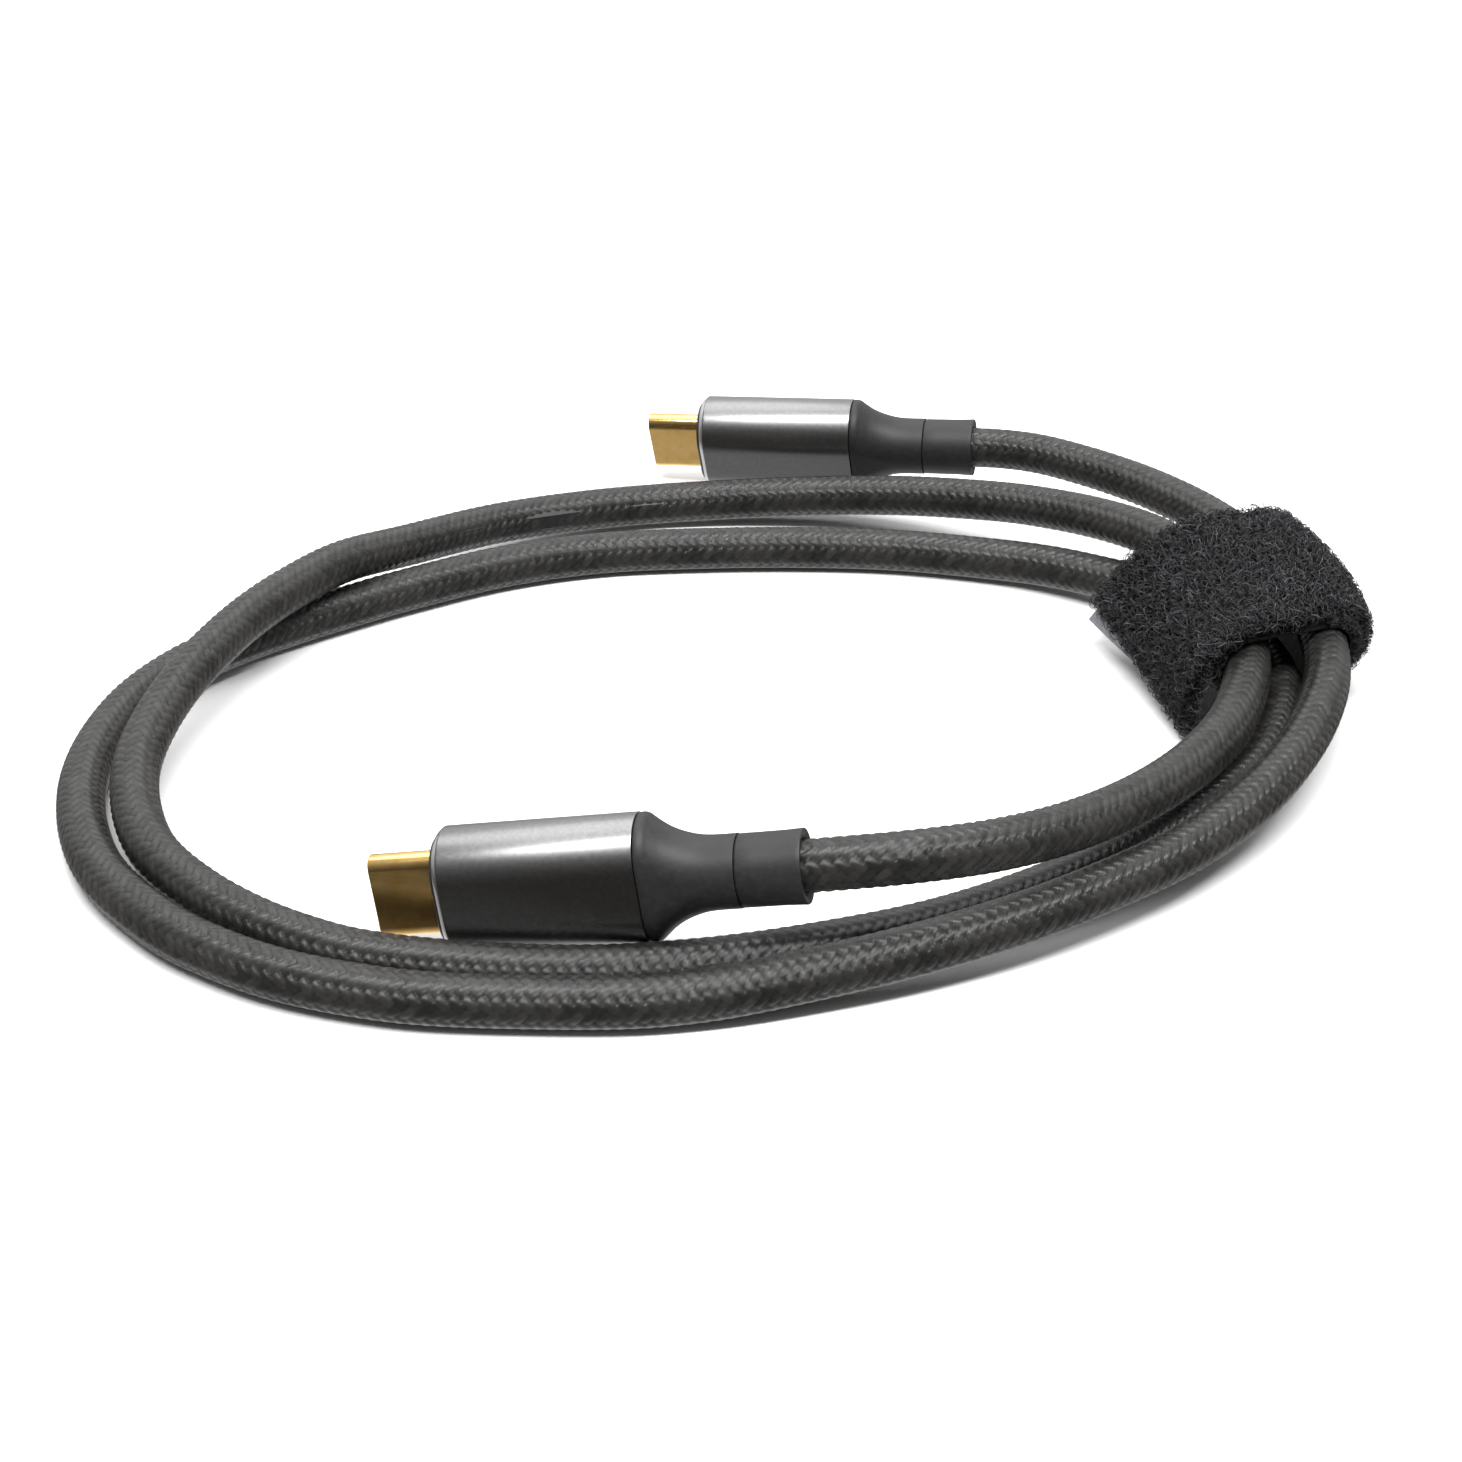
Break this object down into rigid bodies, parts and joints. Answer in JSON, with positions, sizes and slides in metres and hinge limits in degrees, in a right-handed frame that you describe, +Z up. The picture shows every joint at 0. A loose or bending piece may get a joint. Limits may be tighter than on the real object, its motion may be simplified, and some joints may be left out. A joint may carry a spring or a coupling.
{
  "type": "charging cable",
  "caption": "Braided charging cable with a reversible metal-nosed plug at each end, coiled on its side and held by a hook-and-loop strap.",
  "frame": {"origin": "centre of the box round the plugs and the strap, on the plane the coil lies on", "axes": "+Z up from that plane, +X from the plug noses towards the strap, +Y from the near plug towards the far plug"},
  "size_m": [0.1383, 0.1344, 0.0156],
  "materials": {
    "gold_plate": "polished",
    "carrier_plastic": "matte",
    "contact_gold": "polished",
    "spring_steel": "satin",
    "board_green": "gloss",
    "chip_black": "matte",
    "lead_red": "matte",
    "tinned_steel": "satin",
    "natural_plastic": "matte",
    "bezel_dark": "satin",
    "grey_anodised": "satin",
    "crimp_brass": "satin",
    "relief_grey": "matte",
    "braid_charcoal": "satin",
    "jacket_black": "matte",
    "copper": "satin",
    "hook_grey": "matte",
    "loop_black": "matte"
  },
  "bodies": {
    "cable": {"plug_shell_a": "gold_plate", "contact_carrier_a": "carrier_plastic", "upper_contacts_a": "contact_gold", "lower_contacts_a": "contact_gold", "latch_plate_a": "spring_steel", "circuit_board_a": "board_green", "marker_chip_a": "chip_black", "wire_leads_a": "lead_red", "shield_can_a": "tinned_steel", "inner_mould_a": "natural_plastic", "front_bezel_a": "bezel_dark", "housing_sleeve_a": "grey_anodised", "crimp_ferrule_a": "crimp_brass", "strain_relief_a": "relief_grey", "relief_sleeve_a": "relief_grey", "plug_shell_b": "gold_plate", "contact_carrier_b": "carrier_plastic", "upper_contacts_b": "contact_gold", "lower_contacts_b": "contact_gold", "latch_plate_b": "spring_steel", "circuit_board_b": "board_green", "marker_chip_b": "chip_black", "wire_leads_b": "lead_red", "shield_can_b": "tinned_steel", "inner_mould_b": "natural_plastic", "front_bezel_b": "bezel_dark", "housing_sleeve_b": "grey_anodised", "crimp_ferrule_b": "crimp_brass", "strain_relief_b": "relief_grey", "relief_sleeve_b": "relief_grey", "braid_sleeve": "braid_charcoal", "cable_jacket": "jacket_black", "shield_screen": "tinned_steel", "conductor_core": "copper", "strap_band_hook": "hook_grey", "strap_band_pile": "loop_black", "strap_overlap_hook": "hook_grey", "strap_overlap_pile": "loop_black"},
    "strap_tail": {"strap_tail_hook": "hook_grey", "strap_tail_pile": "loop_black"}
  },
  "joints": [
    {"name": "strap_peel", "type": "hinge", "parent": "cable", "child": "strap_tail", "pos_m": [0.0347, 0.0012, 0.01235], "axis": [-0.04, 0.9985, 0.037], "range_deg": [0, 80]}
  ]
}
